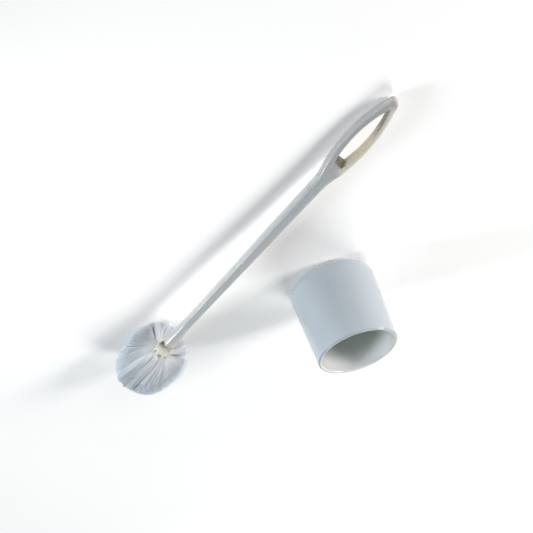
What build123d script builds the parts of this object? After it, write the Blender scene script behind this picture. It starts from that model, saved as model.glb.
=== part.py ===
"""Toilet brush and its holder cup, in millimetres.

The cup stands upright with the centre of its base at the origin. The brush lies on the same floor beside
it, parallel to X, resting on its bristles and on one edge of its finger loop. Brush parts are placed from
one plane, `brush`, whose z axis runs up the handle, whose x axis runs across the finger loop and whose
y axis is the loop's normal.
"""
from build123d import *
from math import asin, cos, radians, sin, sqrt
import os

# ---- holder cup ----
CUP_HEIGHT = 98.0
CUP_MOUTH_RADIUS = 46.5
CUP_BASE_RADIUS = 51.2
CUP_BASE_ROUND = 12.8
CUP_WALL = 3.9
CUP_FLOOR = 4.0
CUP_INNER_ROUND = 10.0

# ---- brush stations, measured up the handle from the brush origin ----
HEAD_CENTRE = -4.5
HUB_TOP = 20.0
NECK_TOP = 26.0
COLLAR_END = 30.5
COLLAR_TOP = 86.0
SOCKET_END = 58.0
STEM_START = 42.0
STEM_END = 290.0
LOOP_WIDEST = 348.0

# ---- finger loop and stem ----
LOOP_HALF_WIDTH = 12.9
LOOP_THICKNESS = 14.0
LOOP_SIDE_RADIUS = 150.0
LOOP_EDGE_ROUND = 3.4
NOSE_ANGLE = 19.5
OPENING_FOOT = 315.9
OPENING_START = 321.9
OPENING_WIDEST = 350.0
OPENING_TIP = 393.0
OPENING_HALF_WIDTH = 7.9
OPENING_FOOT_HALF_WIDTH = 3.5
OPENING_END_SLOPE = -15.0
STEM_HALF_SIZE = 4.8
STEM_ROUND = 2.8
NECK_HALF_WIDTH = 6.1
SHOULDER_STATION = 315.0
SHOULDER_HALF_WIDTH = 10.4

# ---- collar, socket and bristle hub ----
COLLAR_RADIUS = 7.2
COLLAR_ROUND = 1.8
SOCKET_RADIUS = 4.25
SPIGOT_RADIUS = 4.2
SOCKET_CHAMFER = 0.8
HUB_RADIUS = 9.5
HUB_END = -32.0
HUB_END_ROUND = 2.0
NECK_RADIUS = 5.6
RIB_COUNT = 8
RIB_THICKNESS = 1.4
RIB_RADIUS = 6.8

# ---- bristle tufts and their anchors ----
ROW_COUNT = 8
TUFTS_PER_ROW = 9
FIRST_ROW = 15.6
ROW_PITCH = 6.0
FIRST_TILT = 24.0
TILT_STEP = 9.1
HOLE_RADIUS = 2.0
HOLE_DEPTH = 4.2
ROOT_RADIUS = 1.95
ROOT_STUB = 1.8
TUFT_FLARE = 0.115
ANCHOR_LENGTH = 3.9
ANCHOR_THICKNESS = 0.4
ANCHOR_HEIGHT = 1.0
END_RING_RADIUS = 6.0
END_RING_COUNT = 5
END_RING_TILT = -66.0

# ---- outline that the tuft tips reach ----
HEAD_RADIUS = 31.8
HEAD_HALF_LENGTH = 41.0
HEAD_SQUARENESS = 2.5

# ---- how the brush lies: the head on its lowest tufts, the loop on one edge ----
BRUSH_X = 155.0
BRUSH_Y = -155.3
LOOP_ROLL = 26.5
HEAD_REST_HEIGHT = 31.96
LOOP_REST_STATION = 368.0

roll = radians(LOOP_ROLL)
rest_half_width = LOOP_HALF_WIDTH - LOOP_SIDE_RADIUS + sqrt(
    LOOP_SIDE_RADIUS ** 2 - (LOOP_REST_STATION - LOOP_WIDEST) ** 2)
LOOP_REST_HEIGHT = (LOOP_EDGE_ROUND + (rest_half_width - LOOP_EDGE_ROUND) * sin(roll)
                    + (LOOP_THICKNESS / 2 - LOOP_EDGE_ROUND) * cos(roll))
TILT = asin((HEAD_REST_HEIGHT - LOOP_REST_HEIGHT) / (LOOP_REST_STATION - HEAD_CENTRE))
BRUSH_Z = HEAD_REST_HEIGHT + HEAD_CENTRE * sin(TILT)

axis = Vector(-cos(TILT), 0, -sin(TILT))
upward = Vector(-sin(TILT), 0, cos(TILT))
sideways = Vector(0, -1, 0)
across = sideways * cos(roll) - upward * sin(roll)
brush = Plane(origin=(BRUSH_X, BRUSH_Y, BRUSH_Z), x_dir=across, z_dir=axis)
loop_plane = Plane(origin=brush.origin, x_dir=axis, z_dir=brush.y_dir)
side_plane = Plane(origin=brush.origin, x_dir=axis, z_dir=brush.x_dir)


def save(builder, name):
    """Label a finished piece and write its STEP file."""
    builder.part.label = name
    export_step(builder.part, f"parts/{name}.step")


def tuft_places(station, radius, tilt, count):
    """Places on the hub with z pointing out along each tuft of one ring."""
    places = []
    for number in range(count):
        turn = Location((0, 0, station), (0, 0, 360 * number / count))
        lean = Location((radius, 0, 0), (0, 90 - tilt, 0))
        places.append(brush.location * turn * lean)
    return places


def reach(station, radius, tilt):
    """Distance along a tuft from its root to the rounded outline of the head."""
    length = 0.0
    step = 0.05
    while True:
        r = radius + length * cos(radians(tilt))
        z = station + length * sin(radians(tilt)) - HEAD_CENTRE
        level = abs(r / HEAD_RADIUS) ** HEAD_SQUARENESS + abs(z / HEAD_HALF_LENGTH) ** HEAD_SQUARENESS
        if level >= 1:
            return length
        length += step


os.makedirs("parts", exist_ok=True)

# ---- cup: a turned shell, a little narrower at its mouth ----
inner_mouth = CUP_MOUTH_RADIUS - CUP_WALL
inner_base = CUP_BASE_RADIUS - CUP_WALL
with BuildPart() as cup:
    with BuildSketch(Plane.XZ):
        with BuildLine():
            bottom = Line((0, 0), (CUP_BASE_RADIUS - CUP_BASE_ROUND, 0))
            turn = RadiusArc(bottom @ 1, (CUP_BASE_RADIUS, CUP_BASE_ROUND), -CUP_BASE_ROUND)
            wall = Line(turn @ 1, (CUP_MOUTH_RADIUS, CUP_HEIGHT - CUP_WALL / 2))
            rim = RadiusArc(wall @ 1, (inner_mouth, CUP_HEIGHT - CUP_WALL / 2), -CUP_WALL / 2)
            inner_wall = Line(rim @ 1, (inner_base, CUP_FLOOR + CUP_INNER_ROUND))
            inner_turn = RadiusArc(inner_wall @ 1, (inner_base - CUP_INNER_ROUND, CUP_FLOOR), CUP_INNER_ROUND)
            Polyline(inner_turn @ 1, (0, CUP_FLOOR), (0, 0))
        make_face()
    revolve(axis=Axis.Z)
save(cup, "cup")

# ---- finger opening: a lens whose foot is trimmed by a slanting end wall ----
foot = (OPENING_FOOT, OPENING_FOOT_HALF_WIDTH)
widest = (OPENING_WIDEST, OPENING_HALF_WIDTH)
lens_rise = OPENING_TIP - OPENING_WIDEST
lens_radius = (lens_rise ** 2 + OPENING_HALF_WIDTH ** 2) / (2 * OPENING_HALF_WIDTH)
end_wall = Plane(origin=brush.origin + axis * OPENING_START, x_dir=brush.x_dir,
                 z_dir=axis.rotate(Axis((0, 0, 0), brush.x_dir), OPENING_END_SLOPE))
with BuildPart() as opening:
    with BuildSketch(loop_plane):
        with BuildLine():
            TangentArc(widest, foot, tangent=(-1, 0))
            RadiusArc(widest, (OPENING_TIP, 0), lens_radius)
            mirror(about=Plane.XZ)
            Line(foot, (OPENING_FOOT, -OPENING_FOOT_HALF_WIDTH))
        make_face()
    extrude(amount=LOOP_THICKNESS, both=True)
    split(bisect_by=end_wall, keep=Keep.TOP)

# ---- handle: loop plate, four-sided stem, round collar with its socket ----
with BuildPart() as handle:
    with BuildSketch(loop_plane):
        with BuildLine():
            shoulder = Spline(
                (STEM_END, NECK_HALF_WIDTH), (SHOULDER_STATION, SHOULDER_HALF_WIDTH),
                (LOOP_WIDEST, LOOP_HALF_WIDTH), tangents=((1, 0), (1, 0)))
            side = JernArc(shoulder @ 1, (1, 0), LOOP_SIDE_RADIUS, -NOSE_ANGLE)
            nose_radius = (side @ 1).Y / cos(radians(NOSE_ANGLE))
            JernArc(side @ 1, side % 1, nose_radius, NOSE_ANGLE - 90)
            mirror(about=Plane.XZ)
            Line((STEM_END, NECK_HALF_WIDTH), (STEM_END, -NECK_HALF_WIDTH))
        make_face()
    extrude(amount=LOOP_THICKNESS / 2, both=True)
    rims = handle.faces().filter_by(Axis(brush.origin, brush.y_dir)).edges()
    butt = handle.faces().sort_by(Axis(brush.origin, axis))[0].edges()
    fillet([edge for edge in rims if edge not in butt], radius=LOOP_EDGE_ROUND)
    add(opening.part, mode=Mode.SUBTRACT)
    with BuildSketch(brush.offset(STEM_START)) as stem_foot:
        RectangleRounded(2 * STEM_HALF_SIZE, 2 * STEM_HALF_SIZE, STEM_ROUND)
    with BuildSketch(brush.offset(STEM_END)) as stem_head:
        RectangleRounded(2 * NECK_HALF_WIDTH, LOOP_THICKNESS, LOOP_EDGE_ROUND)
    loft()
    with BuildSketch(side_plane):
        with BuildLine():
            mouth = Line((COLLAR_END, 0), (COLLAR_END, COLLAR_RADIUS - COLLAR_ROUND))
            lip = RadiusArc(mouth @ 1, (COLLAR_END + COLLAR_ROUND, COLLAR_RADIUS), COLLAR_ROUND)
            taper = Spline(lip @ 1, (COLLAR_TOP, STEM_HALF_SIZE), tangents=((1, 0), (1, 0)))
            Polyline(taper @ 1, (COLLAR_TOP, 0), (COLLAR_END, 0))
        make_face()
    revolve(axis=Axis(brush.origin, axis))
    with BuildSketch(side_plane):
        with BuildLine():
            Polyline((COLLAR_END, 0), (COLLAR_END, SOCKET_RADIUS + SOCKET_CHAMFER),
                     (COLLAR_END + SOCKET_CHAMFER, SOCKET_RADIUS), (SOCKET_END, SOCKET_RADIUS),
                     (SOCKET_END, 0), close=True)
        make_face()
    revolve(axis=Axis(brush.origin, axis), mode=Mode.SUBTRACT)
save(handle, "handle")

# ---- rings of tufts: name, places and length ----
rings = []
for number in range(ROW_COUNT):
    station = FIRST_ROW - ROW_PITCH * number
    tilt = FIRST_TILT - TILT_STEP * number
    places = tuft_places(station, HUB_RADIUS, tilt, TUFTS_PER_ROW)
    rings.append((f"row_{number + 1}", places, reach(station, HUB_RADIUS, tilt)))
end_places = tuft_places(HUB_END, END_RING_RADIUS, END_RING_TILT, END_RING_COUNT)
end_places += tuft_places(HUB_END, 0, -90, 1)
rings.append(("row_end", end_places, reach(HUB_END, END_RING_RADIUS, END_RING_TILT)))

# ---- head core: hub, ribbed neck and spigot, with a blind hole for every tuft ----
with BuildPart() as head_core:
    with BuildSketch(side_plane):
        with BuildLine():
            Polyline((HUB_END, 0), (HUB_END, HUB_RADIUS), (HUB_TOP, HUB_RADIUS),
                     (NECK_TOP, NECK_RADIUS), (NECK_TOP, SPIGOT_RADIUS), (SOCKET_END, SPIGOT_RADIUS),
                     (SOCKET_END, 0), close=True)
        make_face()
    revolve(axis=Axis(brush.origin, axis))
    fillet(head_core.edges().sort_by(Axis(brush.origin, axis))[0], radius=HUB_END_ROUND)
    for number in range(RIB_COUNT):
        rib_side = brush.x_dir.rotate(Axis((0, 0, 0), axis), 360 * number / RIB_COUNT)
        with BuildSketch(Plane(origin=brush.origin, x_dir=axis, z_dir=rib_side)):
            with BuildLine():
                Polyline((HUB_TOP, SPIGOT_RADIUS), (HUB_TOP, HUB_RADIUS), (NECK_TOP, RIB_RADIUS),
                         (NECK_TOP, SPIGOT_RADIUS), close=True)
            make_face()
        extrude(amount=RIB_THICKNESS / 2, both=True)
    for name, places, length in rings:
        with Locations(*places):
            Cylinder(HOLE_RADIUS, 2 * HOLE_DEPTH, mode=Mode.SUBTRACT)
save(head_core, "head_core")

# ---- tufts and anchors: one node of each for every ring ----
upright = (Align.CENTER, Align.CENTER, Align.MIN)
for name, places, length in rings:
    with BuildPart() as tufts:
        with Locations(*places):
            with Locations((0, 0, ANCHOR_HEIGHT - HOLE_DEPTH)):
                Cylinder(ROOT_RADIUS, HOLE_DEPTH - ANCHOR_HEIGHT + ROOT_STUB, align=upright)
            with Locations((0, 0, ROOT_STUB)):
                flare = TUFT_FLARE * (length - ROOT_STUB)
                Cone(ROOT_RADIUS, ROOT_RADIUS + flare, length - ROOT_STUB, align=upright)
    save(tufts, f"tuft_{name}")

    with BuildPart() as anchors:
        with Locations(*places):
            with Locations((0, 0, -HOLE_DEPTH)):
                Box(ANCHOR_LENGTH, ANCHOR_THICKNESS, ANCHOR_HEIGHT, align=upright)
    save(anchors, f"anchor_{name}")
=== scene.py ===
"""Looks of the toilet brush and its holder cup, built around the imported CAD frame, in metres.

The cup, the handle and the hub keep their CAD shapes and get moulded plastic materials. Each ring of CAD
tufts is replaced by one piece of fine filaments that fan out of the hub's holes. On one side of the head
the filaments are combed towards its free end, and by the neck one tuft stands out beside a notch.
"""
from math import atan2, cos, pi, radians, sin

import bpy
import numpy as np
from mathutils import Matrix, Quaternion, Vector


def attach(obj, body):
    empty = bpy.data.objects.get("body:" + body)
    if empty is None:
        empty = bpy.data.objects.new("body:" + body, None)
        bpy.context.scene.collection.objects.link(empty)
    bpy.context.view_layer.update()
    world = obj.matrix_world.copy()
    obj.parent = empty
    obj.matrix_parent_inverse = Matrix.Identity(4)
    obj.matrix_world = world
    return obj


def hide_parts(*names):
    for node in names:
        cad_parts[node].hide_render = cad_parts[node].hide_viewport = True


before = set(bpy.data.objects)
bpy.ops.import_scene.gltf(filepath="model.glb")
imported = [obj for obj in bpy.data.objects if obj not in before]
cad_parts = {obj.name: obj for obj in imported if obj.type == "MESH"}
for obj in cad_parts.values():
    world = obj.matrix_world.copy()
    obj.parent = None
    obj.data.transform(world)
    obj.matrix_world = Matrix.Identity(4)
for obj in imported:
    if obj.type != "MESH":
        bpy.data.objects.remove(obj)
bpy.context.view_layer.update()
scene = bpy.context.scene
rng = np.random.default_rng(21)

# ---- camera ----
CAMERA_AIM = Vector((-0.037, -0.1483, 0.040))
CAMERA_DISTANCE = 0.8178
CAMERA_AZIMUTH = -38.53
CAMERA_ELEVATION = 32.73
CAMERA_ROLL = 160.02
CAMERA_LENS = 55.085
SENSOR_WIDTH = 36.0

# ---- stage: the floor's own glow grows with the distance from the cup's axis ----
FLOOR_HALF_SIZE = 40.0
GLOW_DISTANCES = (1.2, 3.5)
FLOOR_GLOW = (0.17, 0.80)
WORLD_STRENGTH = 0.06

# ---- lights: all look at the middle of the pair, but for the fill, which looks at the bristle head ----
LIGHT_AIM = Vector((0.0, -0.08, 0.04))
LIGHT_DISTANCE = 3.0
HEAD_AIM = Vector((0.155, -0.155, 0.035))
FILL_DISTANCE = 0.42

# ---- cup: from mid-wall inwards it is painted paler, as painted light, and darker deep down, as painted shade; mid-wall is a radius that narrows by CUP_TAPER per metre of height ----
CUP_WALL_MIDDLE = 0.0499
CUP_TAPER = 0.049
INSIDE_EDGE = 0.0006
INSIDE_SHADE_LINE = (0.070, 0.093)
INSIDE_SHADE_WAVER = 0.006
FOOT_TOP = 0.010

# ---- finger opening, measured back from the loop's nose ----
LOOP_REACH = 0.085
OPENING_FROM_NOSE = (0.0825, 0.0112)
OPENING_WIDEST_FROM_NOSE = 0.0542
OPENING_HALF_WIDTH = 0.0079

# ---- painted light, painted shade, ageing and grime around the finger opening: distances beyond its edge, and places as shares of its length ----
WALL_BAND = (0.0042, 0.0034)
PAINTED_LIGHT_BAND = (-0.002, 0.0)
YELLOW_BAND = (0.0055, 0.001)
TIP_SHADE_AND_GRIME = (0.02, 0.32)
START_SHADE_AND_GRIME = (-0.36, -0.47)
PAINTED_LIGHT_REACH = (0.62, 0.50)

# ---- collar stain and painted shade at the neck: distances up the handle from the first ring of roots, and heights over its axis ----
COLLAR_STAIN = (0.038, 0.017)
COLLAR_BLEND = (-0.004, 0.004)
NECK_SHADE_SPAN = (0.0065, 0.0115)
NECK_SHADE_BLEND = (0.004, -0.003)

# ---- tones, as (r, g, b) or as the stops of a colour ramp ----
FLOOR_TONES = [(0.3, (0.90, 0.905, 0.91)), (0.7, (0.93, 0.93, 0.93))]
WORLD_TONE = (0.88, 0.96, 1.0)
CUP_TONES = [(0.35, (0.455, 0.512, 0.562)), (0.65, (0.485, 0.540, 0.586))]
# inside of the cup: painted shade deep down, painted light near the rim
INSIDE_PAINTED_SHADE, INSIDE_PAINTED_LIGHT = (0.68, 0.73, 0.705), (0.86, 0.875, 0.88)
FOOT_SHADE, FOOT_SCUFF = (0.30, 0.31, 0.35), (0.55, 0.56, 0.56)
HANDLE_TONES = [(0.35, (0.515, 0.525, 0.53)), (0.65, (0.55, 0.557, 0.557))]
HANDLE_WARM = (0.52, 0.495, 0.485)
COLLAR_TONE = (0.62, 0.595, 0.51)
# the opening's walls: aged plastic with painted shade, and painted shade with grime in the corners
WALL_AGED_AND_SHADED, WALL_SHADE_AND_GRIME = (0.60, 0.53, 0.39), (0.10, 0.08, 0.045)
# the far limb: painted paler as painted light, yellowish beside the opening
FAR_LIMB_PAINTED_LIGHT, FAR_LIMB_YELLOWISH = (0.80, 0.795, 0.77), (0.76, 0.71, 0.58)
HUB_TONES = [(0.3, (0.68, 0.66, 0.56)), (0.7, (0.80, 0.78, 0.69))]
# painted shade at the neck, in the gap below the collar's end
NECK_PAINTED_SHADE = (0.13, 0.12, 0.085)
BRISTLE_TONES = [(0.0, (0.90, 0.93, 0.96)), (0.5, (0.93, 0.955, 0.98)), (1.0, (0.96, 0.97, 0.985))]
BRISTLE_TIP, BRISTLE_ROOT = (0.84, 0.90, 0.96), (0.74, 0.73, 0.68)
ANCHOR_TONES = [(0.3, (0.52, 0.52, 0.50)), (0.7, (0.66, 0.66, 0.64))]

# ---- filaments: number, thickness, and how far each strays ----
RINGS = [f"row_{number}" for number in range(1, 9)] + ["row_end"]
FILAMENTS_PER_TUFT = 230
FILAMENT_RADIUS = 0.00022
FILAMENT_RINGS = 7
FILAMENT_SIDES = 3
FILAMENT_TRIM = 0.010
FILAMENT_CURL = 0.0006
ROOT_SPREAD = 0.0017
BEND_AT = 0.3
EARLY_FAN = 0.55

# ---- tufts: combed ones clump, and the others spread wider by LOOSE_SPREAD ----
CLUMPS_PER_TUFT = 3
CLUMP_REACH = 0.75
CLUMP_PULL = (0.1, 0.35)
TUFT_SPREAD = (1.03, 1.18)
LOOSE_SPREAD = 0.4
TUFT_LEAN = 0.08
STAGGER = 0.25
TUFT_TRIM = 0.022
RING_OVERLAP = 0.75
FIRST_RING_LIMIT = 0.3
CENTRE_RING = 5.0
CROWN_RADIUS = 0.001

# ---- outline of the head: what its radius gains towards each side, and how its two ends stretch ----
SWELLS = (
    (np.array((0.0, -0.66, -0.75)), 0.09),
    (np.array((0.0, -0.12, 0.99)), -0.22),
    (np.array((0.0, 0.80, 0.60)), 0.08),
)
SWELL_POWER = 4
FAR_STRETCH = 1.10
END_FLARE = 0.07
RIM_SHARE = 0.8
LEAD_IN = (1.2, 0.3)

# ---- combing: on the swept side, filaments end up to SWEEP_RINGS rings nearer the free end ----
SWEPT_SIDE = np.array((0.0, -0.76, 0.65))
SWEEP_RINGS = 7.8
SWEEP_ONSET = 0.45
SWEEP_FADE = 0.85
FORWARD_RINGS = 0.3

# ---- by the neck, one tuft stays narrow and the tufts beside it are cut back, which leaves a notch ----
STRAY_SIDE = np.array((0.0, 0.93, 0.37))
STRAY_SPREAD = 0.40
NOTCH_SIDE = np.array((0.0, 1.0, 0.0))
NOTCH_RINGS = 2
NOTCH_DEPTH = 0.18
NOTCH_COSINE = 0.82

# ---- filaments stay this far above the floor, and a cap's vertices lie this close to one plane ----
FLOOR_CLEARANCE = 0.0002
CAP_TOLERANCE = 1e-5

# ---- the Mix node's colour sockets, which share their names with its other ones ----
COLOUR_INPUTS = slice(6, 8)
COLOUR_OUTPUT = 2


# ------------------------------------------------------------------ stage

def view_direction(azimuth, elevation):
    """Unit vector from the object to a point at that azimuth, 0 on the -Y side, and elevation."""
    a, e = radians(azimuth), radians(elevation)
    return Vector((sin(a) * cos(e), -cos(a) * cos(e), sin(e)))


def make_camera():
    camera = bpy.data.objects.new("camera", bpy.data.cameras.new("camera"))
    scene.collection.objects.link(camera)
    camera.data.lens = CAMERA_LENS
    camera.data.sensor_width = SENSOR_WIDTH
    camera.data.clip_start, camera.data.clip_end = 0.01, 50.0
    back = view_direction(CAMERA_AZIMUTH, CAMERA_ELEVATION)
    camera.location = CAMERA_AIM + back * CAMERA_DISTANCE
    camera.rotation_mode = "QUATERNION"
    upright = back.to_track_quat("Z", "Y")
    camera.rotation_quaternion = upright @ Quaternion((0, 0, 1), radians(CAMERA_ROLL))
    scene.camera = camera


def softbox(name, azimuth, elevation, size, power, colour, aim=LIGHT_AIM, distance=LIGHT_DISTANCE):
    """A square area light that looks at the aim."""
    data = bpy.data.lights.new(name, "AREA")
    data.size = size
    data.energy = power
    data.color = colour
    light = bpy.data.objects.new(name, data)
    scene.collection.objects.link(light)
    direction = view_direction(azimuth, elevation)
    light.location = aim + direction * distance
    light.rotation_mode = "QUATERNION"
    light.rotation_quaternion = direction.to_track_quat("Z", "Y")
    return light


def make_stage():
    half = FLOOR_HALF_SIZE
    mesh = bpy.data.meshes.new("floor")
    corners = [(-half, -half, 0), (half, -half, 0), (half, half, 0), (-half, half, 0)]
    mesh.from_pydata(corners, [], [(0, 1, 2, 3)])
    floor = bpy.data.objects.new("floor", mesh)
    scene.collection.objects.link(floor)
    look = Look("floor_paper")
    look.set(roughness=0.9, specular=0.2)
    look.link(look.ramp(look.noise(3.0), FLOOR_TONES), "Base Color")
    look.bsdf.inputs["Emission Color"].default_value = (1, 1, 1, 1)
    look.link(look.span(look.from_axis(), *GLOW_DISTANCES, *FLOOR_GLOW), "Emission Strength")
    floor.data.materials.append(look.material)

    world = bpy.data.worlds.new("studio")
    scene.world = world
    world.use_nodes = True
    background = world.node_tree.nodes["Background"]
    background.inputs["Color"].default_value = (*WORLD_TONE, 1.0)
    background.inputs["Strength"].default_value = WORLD_STRENGTH
    scene.view_settings.view_transform = "Standard"

    softbox("key", azimuth=-121, elevation=23, size=1.1, power=74, colour=(1.0, 0.945, 0.92))
    softbox("right", azimuth=36, elevation=17, size=0.7, power=46, colour=(0.87, 0.95, 1.0))
    softbox("front", azimuth=-60, elevation=13, size=1.1, power=8, colour=(0.95, 0.98, 1.0))

    # these two brighten the object, and leave no reflection of their own on it
    back = softbox("back", azimuth=158, elevation=38, size=1.4, power=56, colour=(0.98, 1.0, 0.98))
    back.visible_glossy = False
    fill = softbox("fill", azimuth=-20, elevation=22, size=0.16, power=0.34, colour=(0.94, 0.97, 1.0),
                   aim=HEAD_AIM, distance=FILL_DISTANCE)
    fill.visible_glossy = fill.visible_camera = False


# ------------------------------------------------------------------ material helper

class Look:
    """A Principled material with short calls for the procedural nodes that these looks need."""

    def __init__(self, name):
        self.material = bpy.data.materials.new(name)
        self.material.use_nodes = True
        self.nodes = self.material.node_tree.nodes
        self.links = self.material.node_tree.links
        self.bsdf = self.nodes["Principled BSDF"]
        self.coords = self.nodes.new("ShaderNodeTexCoord").outputs["Object"]

    def set(self, roughness=0.4, specular=0.5, coat=0.0, coat_roughness=0.03, metallic=0.0):
        values = {"Roughness": roughness, "Specular IOR Level": specular, "Coat Weight": coat,
                  "Coat Roughness": coat_roughness, "Metallic": metallic}
        for socket, value in values.items():
            self.bsdf.inputs[socket].default_value = value

    def link(self, output, socket):
        self.links.new(output, self.bsdf.inputs[socket])

    def stretched(self, scale):
        """Object coordinates scaled by a vector, for grain that runs one way."""
        node = self.nodes.new("ShaderNodeVectorMath")
        node.operation = "MULTIPLY"
        node.inputs[1].default_value = scale
        self.links.new(self.coords, node.inputs[0])
        return node.outputs["Vector"]

    def noise(self, scale, detail=3.0, vector=None):
        node = self.nodes.new("ShaderNodeTexNoise")
        node.inputs["Scale"].default_value = scale
        node.inputs["Detail"].default_value = detail
        self.links.new(vector or self.coords, node.inputs["Vector"])
        return node.outputs["Fac"]

    def ramp(self, factor, stops):
        """Colour ramp from a list of (position, (r, g, b))."""
        node = self.nodes.new("ShaderNodeValToRGB")
        elements = node.color_ramp.elements
        while len(elements) < len(stops):
            elements.new(0.5)
        for element, (position, colour) in zip(elements, stops):
            element.position = position
            element.color = (*colour, 1.0)
        self.links.new(factor, node.inputs["Fac"])
        return node.outputs["Color"]

    def span(self, value, low, high, to_low=0.0, to_high=1.0):
        """Maps value smoothly from low..high to to_low..to_high, clamped."""
        node = self.nodes.new("ShaderNodeMapRange")
        node.interpolation_type = "SMOOTHSTEP"
        limits = {"From Min": low, "From Max": high, "To Min": to_low, "To Max": to_high}
        for socket, number in limits.items():
            node.inputs[socket].default_value = number
        self.links.new(value, node.inputs["Value"])
        return node.outputs["Result"]

    def maths(self, operation, first, second=None):
        node = self.nodes.new("ShaderNodeMath")
        node.operation = operation
        for socket, value in zip(node.inputs, (first, second)):
            if isinstance(value, (int, float)):
                socket.default_value = value
            elif value is not None:
                self.links.new(value, socket)
        return node.outputs["Value"]

    def mix(self, factor, first, second):
        """Mixes two colours, each a colour output or a constant (r, g, b)."""
        node = self.nodes.new("ShaderNodeMix")
        node.data_type = "RGBA"
        self.links.new(factor, node.inputs["Factor"])
        for socket, value in zip(node.inputs[COLOUR_INPUTS], (first, second)):
            if isinstance(value, tuple):
                socket.default_value = (*value, 1.0)
            else:
                self.links.new(value, socket)
        return node.outputs[COLOUR_OUTPUT]

    def bump(self, layers):
        """Chains bump nodes from a list of (height output, depth in metres)."""
        normal = None
        for height, depth in layers:
            node = self.nodes.new("ShaderNodeBump")
            node.inputs["Strength"].default_value = 1.0
            node.inputs["Distance"].default_value = depth
            self.links.new(height, node.inputs["Height"])
            if normal is not None:
                self.links.new(normal, node.inputs["Normal"])
            normal = node.outputs["Normal"]
        self.link(normal, "Normal")

    def along(self, origin, direction):
        """Signed distance of the shaded point from origin along direction."""
        away = self.nodes.new("ShaderNodeVectorMath")
        away.operation = "SUBTRACT"
        away.inputs[1].default_value = origin
        self.links.new(self.coords, away.inputs[0])
        dot = self.nodes.new("ShaderNodeVectorMath")
        dot.operation = "DOT_PRODUCT"
        dot.inputs[1].default_value = direction
        self.links.new(away.outputs["Vector"], dot.inputs[0])
        return dot.outputs["Value"]

    def from_axis(self):
        """Distance of the shaded point from the upright line through the origin, the cup's axis."""
        flat = self.stretched((1.0, 1.0, 0.0))
        length = self.nodes.new("ShaderNodeVectorMath")
        length.operation = "LENGTH"
        self.links.new(flat, length.inputs[0])
        return length.outputs["Value"]

    def facing(self, direction):
        """How squarely the surface faces along direction or against it, from 0 to 1."""
        dot = self.nodes.new("ShaderNodeVectorMath")
        dot.operation = "DOT_PRODUCT"
        dot.inputs[1].default_value = direction
        self.links.new(self.nodes.new("ShaderNodeNewGeometry").outputs["Normal"], dot.inputs[0])
        return self.maths("ABSOLUTE", dot.outputs["Value"])


# ------------------------------------------------------------------ materials

def cup_plastic():
    look = Look("cup_plastic_look")
    look.set(specular=0.5, coat=0.5, coat_roughness=0.05)
    tone = look.ramp(look.noise(16.0, 2.0), CUP_TONES)
    height = look.along((0, 0, 0), (0, 0, 1))
    radius = look.maths("ADD", look.from_axis(), look.maths("MULTIPLY", height, CUP_TAPER))
    # inside the wall the cup is painted paler, as painted light, and darker below a wavering line, as painted
    # shade
    inner = look.span(radius, CUP_WALL_MIDDLE + INSIDE_EDGE, CUP_WALL_MIDDLE - INSIDE_EDGE)
    wavering = look.maths("ADD", height, look.maths("MULTIPLY", look.noise(45.0, 3.0), INSIDE_SHADE_WAVER))
    tone = look.mix(inner, tone, look.mix(look.span(wavering, *INSIDE_SHADE_LINE), INSIDE_PAINTED_SHADE, INSIDE_PAINTED_LIGHT))
    tone = look.mix(look.span(height, FOOT_TOP, 0.002, 0.0, 0.65), tone, FOOT_SHADE)
    scuff = look.maths("MULTIPLY", look.span(height, FOOT_TOP, 0.001),
                       look.span(look.noise(420.0, 4.0), 0.48, 0.66, 0.0, 0.35))
    look.link(look.mix(scuff, tone, FOOT_SCUFF), "Base Color")
    smears = look.noise(70.0, 5.0)
    look.link(look.span(smears, 0.35, 0.7, 0.16, 0.26), "Roughness")
    look.bump([(look.noise(38.0, 1.0), 0.00012), (look.noise(750.0, 2.0), 0.000012)])
    return look.material


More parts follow.
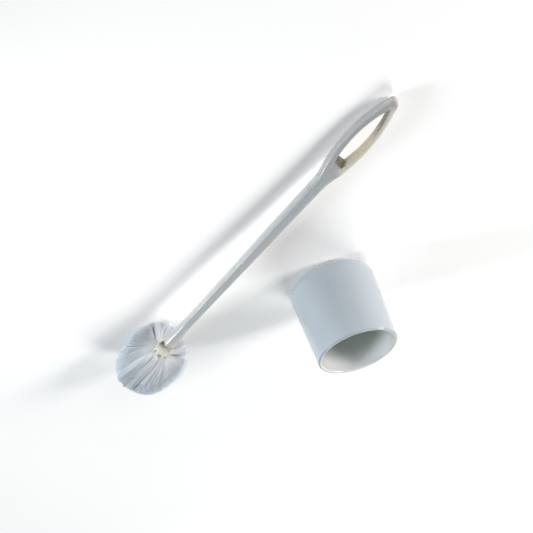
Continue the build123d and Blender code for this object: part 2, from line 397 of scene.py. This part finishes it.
def handle_plastic(loop):
    look = Look("handle_plastic_look")
    look.set(specular=0.45, coat=0.12, coat_roughness=0.12)
    station = look.along(loop.origin, loop.axis)
    from_middle = look.maths("SUBTRACT", station, loop.middle)
    blotches = look.noise(160.0, 4.0)
    tone = look.ramp(look.noise(14.0, 2.0, look.stretched((0.3, 1.0, 1.0))), HANDLE_TONES)

    # the loop is warmer than the stem, and the collar is stained, most of all on top
    warmth = look.span(station, loop.middle - loop.length, loop.middle, 0.0, 0.8)
    tone = look.mix(warmth, tone, HANDLE_WARM)
    stain = look.maths("MULTIPLY", look.span(station, *COLLAR_STAIN),
                       look.span(look.along(loop.origin, loop.over), *COLLAR_BLEND, 0.45, 0.9))
    stain = look.maths("MULTIPLY", stain, look.span(look.noise(220.0, 4.0), 0.25, 0.65, 0.7, 1.0))
    tone = look.mix(stain, tone, COLLAR_TONE)

    # distances from the loop's middle line, straightened so that the opening's edge is at its half width
    from_widest = look.maths("SUBTRACT", station, loop.widest)
    curve = look.maths("MULTIPLY", look.maths("MULTIPLY", from_widest, from_widest), loop.narrowing)
    far_side = look.along(loop.origin, loop.across)
    edge_distance = look.maths("ADD", look.maths("ABSOLUTE", far_side), curve)
    far_distance = look.maths("ADD", far_side, curve)

    def beyond_edge(distance, band):
        return look.span(distance, *(loop.half_width + offset for offset in band))

    def along_opening(place, shares, *levels):
        return look.span(place, *(share * loop.length for share in shares), *levels)

    # the far limb is painted paler, as painted light, and yellowish beside the opening
    far_limb_lit = look.maths("MULTIPLY", beyond_edge(far_distance, PAINTED_LIGHT_BAND),
                      along_opening(look.maths("ABSOLUTE", from_middle), PAINTED_LIGHT_REACH, 0.0, 0.9))
    yellow = beyond_edge(far_distance, YELLOW_BAND)
    tone = look.mix(far_limb_lit, tone, look.mix(yellow, FAR_LIMB_PAINTED_LIGHT, FAR_LIMB_YELLOWISH))

    # the opening's walls are beige, partly aged plastic and partly painted shade, and darker towards both
    # ends, where painted shade fills the corners along with some grime
    wall = look.maths("MULTIPLY", beyond_edge(edge_distance, WALL_BAND),
                      look.span(look.facing(loop.normal), 0.6, 0.4))
    to_ends = look.maths("MAXIMUM", along_opening(from_middle, TIP_SHADE_AND_GRIME),
                         along_opening(from_middle, START_SHADE_AND_GRIME, 0.0, 0.5))
    shade_and_grime = look.maths("MULTIPLY", to_ends, look.span(blotches, 0.25, 0.6, 0.7, 1.0))
    wall = look.maths("MULTIPLY", wall, look.span(blotches, 0.2, 0.5, 0.8, 1.0))
    look.link(look.mix(wall, tone, look.mix(shade_and_grime, WALL_AGED_AND_SHADED, WALL_SHADE_AND_GRIME)), "Base Color")

    smears = look.noise(90.0, 5.0, look.stretched((0.4, 1.0, 1.0)))
    look.link(look.span(smears, 0.35, 0.7, 0.24, 0.36), "Roughness")
    look.bump([(look.noise(60.0, 1.0, look.stretched((0.3, 1.0, 1.0))), 0.00008),
               (look.noise(900.0, 2.0), 0.000010)])
    return look.material


def hub_plastic(head):
    look = Look("hub_plastic_look")
    look.set(specular=0.45)
    tone = look.ramp(look.noise(90.0, 4.0), HUB_TONES)
    station = look.along(tuple(head.origin), tuple(head.axis))
    upper_side = look.along(tuple(head.origin), tuple(head.over * np.sign(head.over[2])))
    # painted shade around the neck in the gap below the collar's end, strongest on its underside
    neck_shade = look.maths("MULTIPLY", look.span(station, *NECK_SHADE_SPAN),
                      look.span(upper_side, *NECK_SHADE_BLEND, 0.35, 1.0))
    neck_shade = look.maths("MULTIPLY", neck_shade, look.span(look.noise(260.0, 4.0), 0.2, 0.6, 0.75, 1.0))
    look.link(look.mix(neck_shade, tone, NECK_PAINTED_SHADE), "Base Color")
    look.link(look.span(look.noise(200.0, 4.0), 0.3, 0.7, 0.38, 0.55), "Roughness")
    look.bump([(look.noise(600.0, 3.0), 0.00003)])
    return look.material


def bristle_filament():
    look = Look("bristle_look")
    look.set(specular=0.35)
    island = look.nodes.new("ShaderNodeNewGeometry").outputs["Random Per Island"]
    tone = look.ramp(island, BRISTLE_TONES)
    place = look.nodes.new("ShaderNodeAttribute")
    place.attribute_name = "along"
    root = look.span(place.outputs["Fac"], 0.1, 0.4, 0.4, 0.0)
    mottled = look.maths("MULTIPLY", root, look.span(look.noise(160.0, 3.0), 0.3, 0.7, 0.5, 1.0))
    tone = look.mix(look.span(place.outputs["Fac"], 0.6, 0.95, 0.0, 0.7), tone, BRISTLE_TIP)
    look.link(look.mix(mottled, tone, BRISTLE_ROOT), "Base Color")
    look.link(look.span(look.noise(500.0, 2.0), 0.3, 0.7, 0.35, 0.5), "Roughness")
    look.bump([(look.noise(2500.0, 2.0), 0.00001)])
    return look.material


def anchor_wire():
    look = Look("anchor_metal_look")
    look.set(specular=0.5, metallic=1.0)
    grain = look.noise(900.0, 3.0, look.stretched((1.0, 0.1, 1.0)))
    look.link(look.ramp(grain, ANCHOR_TONES), "Base Color")
    look.link(look.span(grain, 0.3, 0.7, 0.3, 0.45), "Roughness")
    look.bump([(grain, 0.00001)])
    return look.material


# ------------------------------------------------------------------ CAD tufts, read from the frame

def vertices(node):
    """The vertices of a CAD node, as an array."""
    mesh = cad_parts[node].data
    points = np.empty(len(mesh.vertices) * 3)
    mesh.vertices.foreach_get("co", points)
    return points.reshape(-1, 3)


class FingerLoop:
    """Where the handle's finger opening is, read from the handle's vertices and the head's axis."""

    def __init__(self, head):
        points = vertices("handle")
        station = (points - head.origin) @ head.axis
        self.origin = tuple(head.origin)
        self.axis = tuple(head.axis)
        self.over = tuple(head.over * np.sign(head.over[2]))
        nose = station.max()

        # seen along the head's axis, the loop spreads most across itself and least along its normal
        loop = points[station > nose - LOOP_REACH]
        spread = loop - loop.mean(axis=0)
        spread -= np.outer(spread @ head.axis, head.axis)
        vectors = np.linalg.eigh(spread.T @ spread)[1]
        self.across = tuple(vectors[:, 2] * np.sign(vectors[1, 2]))
        self.normal = tuple(vectors[:, 1])

        start, tip = nose - OPENING_FROM_NOSE[0], nose - OPENING_FROM_NOSE[1]
        self.middle = (start + tip) / 2
        self.length = tip - start
        self.widest = nose - OPENING_WIDEST_FROM_NOSE
        self.half_width = OPENING_HALF_WIDTH
        self.narrowing = OPENING_HALF_WIDTH / (tip - self.widest) ** 2


def cad_tufts(node):
    """Axis of each solid in a tuft node: a list of (root end, tip end) as arrays."""
    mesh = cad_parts[node].data
    points = vertices(node)
    corners = np.empty(len(mesh.polygons) * 3, dtype=np.int64)
    mesh.polygons.foreach_get("vertices", corners)
    corners = corners.reshape(-1, 3)
    places, welded = np.unique(np.round(points, 7), axis=0, return_inverse=True)
    triangles = welded.reshape(-1)[corners]

    # the lowest vertex number spreads over each solid, and becomes the solid's label
    group = np.arange(len(places))
    while True:
        lowest = group[triangles].min(axis=1)
        merged = group.copy()
        for column in range(3):
            np.minimum.at(merged, triangles[:, column], lowest)
        merged = merged[merged]
        if (merged == group).all():
            break
        group = merged

    # a cone's axis is the one direction that its faces' normals single out, and its narrow cap is the root
    tufts = []
    for label in np.unique(group):
        mine = triangles[group[triangles[:, 0]] == label]
        a, b, c = (places[mine[:, i]] for i in range(3))
        normal = np.cross(b - a, c - a)
        area = np.linalg.norm(normal, axis=1, keepdims=True)
        spread = (normal / np.maximum(area, 1e-20)).T @ normal
        values, vectors = np.linalg.eigh(spread)
        odd = 0 if values[1] - values[0] > values[2] - values[1] else 2
        axis = vectors[:, odd]
        solid = places[group == label]
        centre = solid.mean(axis=0)
        t = (solid - centre) @ axis
        caps = []
        for end in (t.min(), t.max()):
            cap = solid[np.abs(t - end) < CAP_TOLERANCE]
            middle = (cap.max(axis=0) + cap.min(axis=0)) / 2
            caps.append((np.linalg.norm(cap - middle, axis=1).max(), tuple(middle)))
        caps.sort()
        tufts.append((np.array(caps[0][1]), np.array(caps[1][1])))
    return tufts


class BrushHead:
    """The head's axis, and the outline through the CAD tufts' tips as (station, radius) by ring number."""

    def __init__(self, rings):
        self.rings = rings
        first, last = (np.mean([root for root, tip in rings[name]], axis=0) for name in (RINGS[0], RINGS[-2]))
        self.origin = first
        self.axis = (first - last) / np.linalg.norm(first - last)
        self.out = np.cross(self.axis, (0.0, 0.0, 1.0))
        self.out /= np.linalg.norm(self.out)
        self.over = np.cross(self.axis, self.out)
        outline = []
        for name in RINGS:
            tips = [self.polar(tip) for root, tip in rings[name]]
            rim = max(radius for station, radius, angle in tips)
            at_rim = [tip for tip in tips if tip[1] > RIM_SHARE * rim]
            outline.append(np.mean([(station, radius) for station, radius, angle in at_rim], axis=0))
        crown = min(self.polar(tip)[0] for root, tip in rings[RINGS[-1]])
        outline.append(np.array((crown, 0.0)))
        before = outline[0] + (outline[0] - outline[1]) * LEAD_IN
        self.outline = np.array([before, *outline])

    def polar(self, point):
        """Station along the axis, radius and angle of a point."""
        away = point - self.origin
        side, rise = away @ self.out, away @ self.over
        return away @ self.axis, np.hypot(side, rise), atan2(rise, side)

    def outward(self, angle):
        """Unit vectors that point away from the axis at the given angles."""
        return np.cos(angle)[:, None] * self.out + np.sin(angle)[:, None] * self.over

    def combed(self, angle):
        """How strongly the filaments at the given angles are combed along the head, from 0 to 1."""
        facing = self.outward(angle) @ SWEPT_SIDE
        share = np.clip((facing + SWEEP_ONSET) / (1 + SWEEP_ONSET), 0, 1)
        return share ** 2 * (3 - 2 * share)

    def tips(self, ring, angle, reach):
        """Points on the outline at fractional ring numbers and angles, scaled by reach from its middle."""
        numbers = np.arange(len(self.outline))
        station = np.interp(ring, numbers, self.outline[:, 0])
        radius = np.interp(ring, numbers, self.outline[:, 1])
        outward = self.outward(angle)
        swell = 1 + sum(amount * np.maximum(outward @ side, 0) ** SWELL_POWER for side, amount in SWELLS)
        middle = np.interp(CENTRE_RING, numbers, self.outline[:, 0])
        station = middle + (station - middle) * reach * np.where(station < middle, FAR_STRETCH, 1.0)
        radius = radius * reach * swell * (1 + END_FLARE * np.abs(ring / CENTRE_RING - 1))
        return self.origin + station[:, None] * self.axis + radius[:, None] * outward


def sunflower(count):
    """Evenly spread points in the unit disc, with a little jitter."""
    number = np.arange(count) + 0.5
    radius = np.sqrt(number / count)
    angle = number * pi * (3 - np.sqrt(5))
    points = np.stack((radius * np.cos(angle), radius * np.sin(angle)), axis=1)
    return points + rng.normal(0, 0.5 / np.sqrt(count), points.shape)


def clumped(disc, pull):
    """Draws the points of one tuft towards a few centres, as wet bristles stick together."""
    centres = sunflower(CLUMPS_PER_TUFT) * CLUMP_REACH
    nearest = np.linalg.norm(disc[:, None] - centres[None], axis=2).argmin(axis=1)
    return disc * (1 - pull) + centres[nearest] * pull


def tuft_curves(head, root, tip, ring_number, cell):
    """Centre lines of one tuft's filaments, as an array of (filament, ring of points, 3)."""
    count = FILAMENTS_PER_TUFT
    way = (tip - root) / np.linalg.norm(tip - root)
    length = np.linalg.norm(tip - root)
    radius, angle = head.polar(tip)[1:]
    disc = sunflower(count)

    # where each filament ends: clumped, spread and leant around the tuft's own place on the outline
    near_handle = 1 - SWEEP_FADE * (ring_number - 1) / len(RINGS)
    combed = head.combed(np.array([angle]))[0] * near_handle if radius > CROWN_RADIUS else 0.0
    loose = 1 - combed if ring_number > NOTCH_RINGS else 0.0
    aim = clumped(disc, rng.uniform(*CLUMP_PULL) * (1 - loose))
    aim *= rng.uniform(*TUFT_SPREAD) + LOOSE_SPREAD * loose
    lean_ring, lean_angle = rng.normal(0, 1, 2) * TUFT_LEAN
    lean_angle += STAGGER * (-1) ** ring_number
    if radius < CROWN_RADIUS:
        rings = ring_number + 1 - np.hypot(aim[:, 0], aim[:, 1]) * RING_OVERLAP
        angles = np.arctan2(aim[:, 1], aim[:, 0])
    else:
        angles = angle + (aim[:, 0] + lean_angle) * cell
        share = head.combed(angles)
        sweep = (SWEEP_RINGS * share - FORWARD_RINGS * (1 - share)) * near_handle
        rings = ring_number + sweep + aim[:, 1] * RING_OVERLAP + lean_ring
    reach = 1 + rng.normal(0, TUFT_TRIM) + rng.normal(0, FILAMENT_TRIM, count)
    outward = head.outward(np.array([angle]))[0]
    if ring_number == 1 and outward @ STRAY_SIDE > cos(cell):
        angles = angle + aim[:, 0] * STRAY_SPREAD * cell
    elif ring_number <= NOTCH_RINGS:
        reach -= NOTCH_DEPTH * max(outward @ NOTCH_SIDE - NOTCH_COSINE, 0) / (1 - NOTCH_COSINE)
    ends = head.tips(np.maximum(rings, FIRST_RING_LIMIT), angles, reach)

    # the way there: out of the hole along the tuft's axis, then bent over, and never through the floor
    across = np.cross(head.axis, way)
    across = across / max(np.linalg.norm(across), 1e-9) if radius > CROWN_RADIUS else head.out
    along = np.cross(way, across)
    starts = root + ROOT_SPREAD * (disc[:, :1] * across + disc[:, 1:] * along)
    middles = starts + way * length * BEND_AT + rng.normal(0, FILAMENT_CURL, (count, 3))
    middles += across * ((ends - middles) @ across)[:, None] * EARLY_FAN
    t = np.linspace(0, 1, FILAMENT_RINGS)[None, :, None]
    curves = (1 - t) ** 2 * starts[:, None] + 2 * t * (1 - t) * middles[:, None] + t ** 2 * ends[:, None]
    curves[:, :, 2] = np.maximum(curves[:, :, 2], FLOOR_CLEARANCE + FILAMENT_RADIUS)
    return curves


def filament_mesh(name, curves):
    """One mesh of closed, three-sided filaments along the curves."""
    count, rings = curves.shape[:2]
    forward = np.gradient(curves, axis=1)
    forward /= np.linalg.norm(forward, axis=2, keepdims=True)
    spin = rng.normal(0, 1, (count, 1, 3))
    side = np.cross(forward, spin)
    side /= np.linalg.norm(side, axis=2, keepdims=True)
    other = np.cross(forward, side)
    turn = 2 * pi * np.arange(FILAMENT_SIDES) / FILAMENT_SIDES
    ring = np.cos(turn)[:, None] * side[:, :, None] + np.sin(turn)[:, None] * other[:, :, None]
    points = curves[:, :, None] + FILAMENT_RADIUS * ring

    index = np.arange(count * rings * FILAMENT_SIDES).reshape(count, rings, FILAMENT_SIDES)
    nxt = np.roll(index, -1, axis=2)
    walls = np.stack((index[:, :-1], nxt[:, :-1], nxt[:, 1:], index[:, 1:]), axis=-1).reshape(-1, 4)
    caps = np.concatenate((index[:, 0, ::-1], index[:, -1]))
    mesh = bpy.data.meshes.new(name)
    mesh.from_pydata(points.reshape(-1, 3).tolist(), [], walls.tolist() + caps.tolist())
    share = np.broadcast_to(np.linspace(0, 1, rings)[None, :, None], (count, rings, FILAMENT_SIDES))
    along = mesh.attributes.new("along", "FLOAT", "POINT")
    along.data.foreach_set("value", share.reshape(-1).astype(np.float32))
    mesh.shade_smooth()
    return mesh


def make_bristles(head, material):
    """Replaces each ring of CAD tufts by a piece of filaments that grow from the same holes."""
    for number, name in enumerate(RINGS, start=1):
        on_ring = [tuft for tuft in head.rings[name] if head.polar(tuft[1])[1] > CROWN_RADIUS]
        cell = pi / len(on_ring)
        curves = [tuft_curves(head, root, tip, number, cell) for root, tip in head.rings[name]]
        mesh = filament_mesh(f"filaments_{name}", np.concatenate(curves))
        piece = bpy.data.objects.new(mesh.name, mesh)
        scene.collection.objects.link(piece)
        piece.data.materials.append(material)
        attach(piece, "brush")
        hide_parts(f"tuft_{name}")


make_camera()
make_stage()
head = BrushHead({name: cad_tufts(f"tuft_{name}") for name in RINGS})
make_bristles(head, bristle_filament())

finishes = {"cup": cup_plastic(), "handle": handle_plastic(FingerLoop(head)), "head_core": hub_plastic(head)}
finishes.update({f"anchor_{name}": anchor_wire() for name in RINGS})
for node, material in finishes.items():
    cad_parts[node].material_slots[0].material = material
